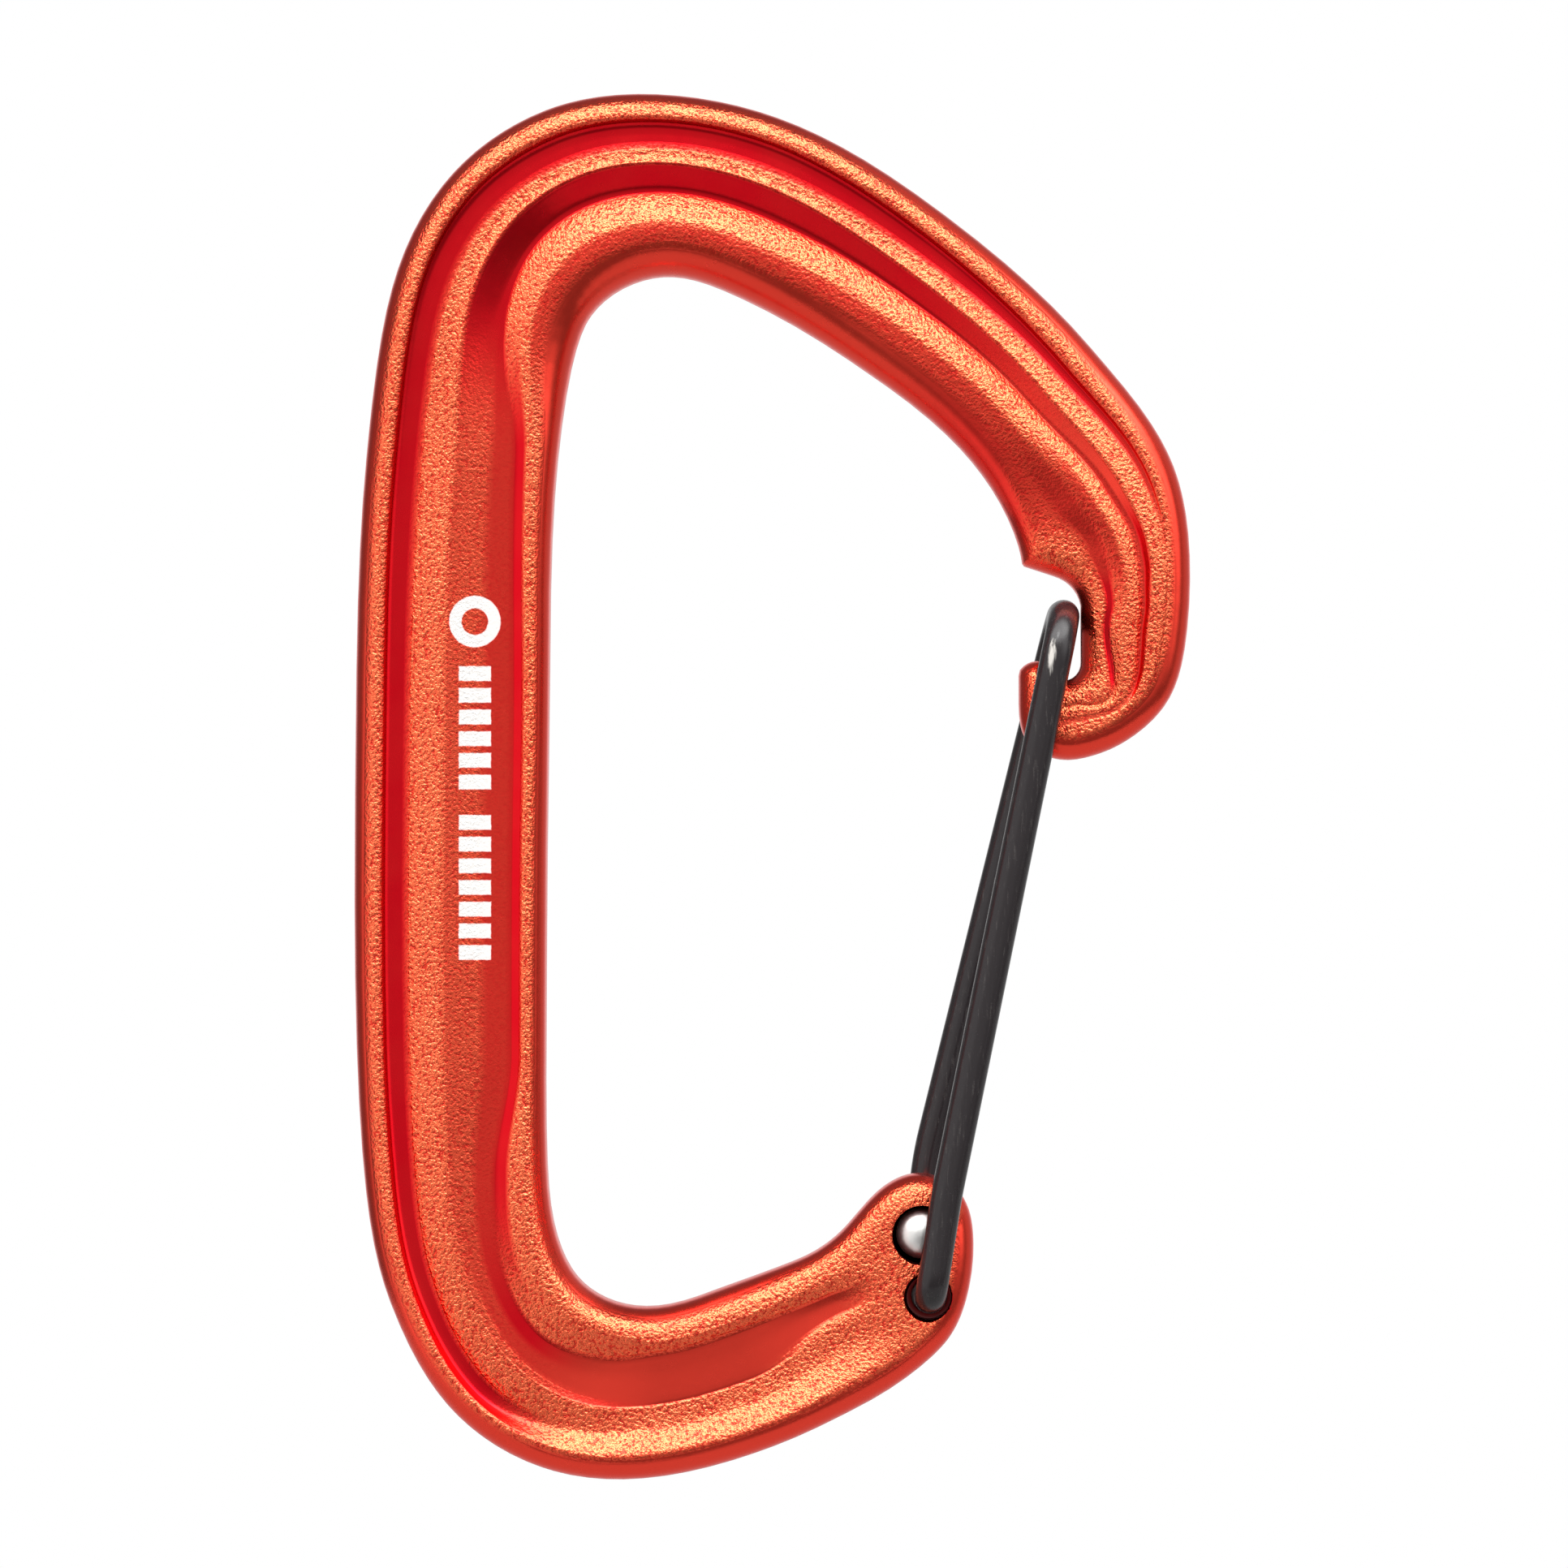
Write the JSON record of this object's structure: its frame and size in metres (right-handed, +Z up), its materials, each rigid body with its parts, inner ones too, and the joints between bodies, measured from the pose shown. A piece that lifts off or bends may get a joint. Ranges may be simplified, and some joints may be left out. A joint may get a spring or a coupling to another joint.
{
  "type": "wire-gate carabiner",
  "caption": "Forged aluminium D-shaped carabiner with an I-beam body, a notched nose and a sprung bent-wire gate.",
  "frame": {"origin": "highest point of the inside of the top basket, in the body's mid-plane, where the body bears on what it hangs from", "axes": "+Z up along the spine, +X from the spine towards the gate, +Y away from the front face"},
  "size_m": [0.058, 0.0108, 0.0961],
  "materials": {
    "anodised_aluminium": "orange-red anodised, fine blasted grain",
    "black_wire": "black coated stainless steel wire, semi-gloss",
    "polished_steel": "polished steel"
  },
  "bodies": {
    "frame": {"body": "anodised_aluminium"},
    "front_leg": {"gate_front_leg": "black_wire", "front_leg_ball": "polished_steel"},
    "rear_leg": {"gate_rear_leg": "black_wire", "rear_leg_ball": "polished_steel"}
  },
  "joints": [
    {"name": "gate_hinge", "type": "hinge", "parent": "frame", "child": "front_leg", "pos_m": [0.0181, 0, -0.0708], "axis": [0, -1, 0], "range_deg": [0, 42], "stiffness_Nm_per_rad": 0.25, "springref_deg": -28.65},
    {"name": "crown_flex", "type": "hinge", "parent": "front_leg", "child": "rear_leg", "pos_m": [0.0274, 0, -0.02355], "axis": [0, -1, 0], "range_deg": [0, 4.3]}
  ],
  "couplings": [
    {"joint": "crown_flex", "follows": "gate_hinge", "ratio": 0.0988}
  ]
}
